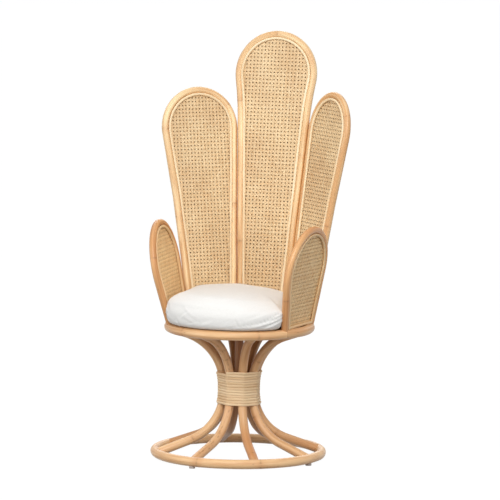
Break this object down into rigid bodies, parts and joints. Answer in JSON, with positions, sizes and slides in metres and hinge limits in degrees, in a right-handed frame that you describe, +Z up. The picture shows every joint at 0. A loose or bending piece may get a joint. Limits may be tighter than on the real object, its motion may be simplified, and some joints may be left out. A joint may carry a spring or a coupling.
{
  "type": "peacock chair",
  "caption": "Round rattan armchair with tall rounded cane-filled petals for its back and low ones for arms, on a flared pedestal bound at the waist, with a loose round cushion.",
  "frame": {"origin": "on the floor, under the middle of the whole chair's bounding box", "axes": "+Z up, -Y towards the open front of the seat, +X to the left hand of someone who sits in it"},
  "size_m": [0.6612, 0.6612, 1.3925],
  "materials": {
    "pole": "honey rattan, satin lacquer",
    "petal_pole": "light honey rattan, satin lacquer",
    "bead": "pale peeled rattan core, satin",
    "cane": "woven cane webbing, satin",
    "wrap": "flat rattan peel, matte",
    "board": "plywood, plain",
    "cushion": "warm white woven cotton",
    "glide": "matte grey"
  },
  "bodies": {
    "frame": {"base_ring": "pole", "foot_glide_1": "glide", "foot_glide_2": "glide", "foot_glide_3": "glide", "foot_glide_4": "glide", "pedestal_pole_1": "pole", "pedestal_pole_2": "pole", "pedestal_pole_3": "pole", "pedestal_pole_4": "pole", "pedestal_pole_5": "pole", "pedestal_pole_6": "pole", "pedestal_pole_7": "pole", "pedestal_pole_8": "pole", "waist_core": "board", "centre_post": "pole", "waist_wrap": "wrap", "seat_ring_front": "pole", "seat_ring_back": "pole", "seat_board": "board", "petal_centre_frame": "petal_pole", "petal_centre_cane_inner": "cane", "petal_centre_cane_outer": "cane", "petal_centre_bead_inner": "bead", "petal_centre_bead_outer": "bead", "petal_left_frame": "petal_pole", "petal_left_cane_inner": "cane", "petal_left_cane_outer": "cane", "petal_left_bead_inner": "bead", "petal_left_bead_outer": "bead", "petal_right_frame": "petal_pole", "petal_right_cane_inner": "cane", "petal_right_cane_outer": "cane", "petal_right_bead_inner": "bead", "petal_right_bead_outer": "bead", "arm_left_frame": "petal_pole", "arm_left_cane_inner": "cane", "arm_left_cane_outer": "cane", "arm_left_bead_inner": "bead", "arm_left_bead_outer": "bead", "arm_right_frame": "petal_pole", "arm_right_cane_inner": "cane", "arm_right_cane_outer": "cane", "arm_right_bead_inner": "bead", "arm_right_bead_outer": "bead"},
    "cushion": {"seat_cushion": "cushion"}
  },
  "joints": [
    {"name": "cushion_lift", "type": "slide", "parent": "frame", "child": "cushion", "axis": [0, 0, 1], "range_m": [0, 0.3]}
  ]
}
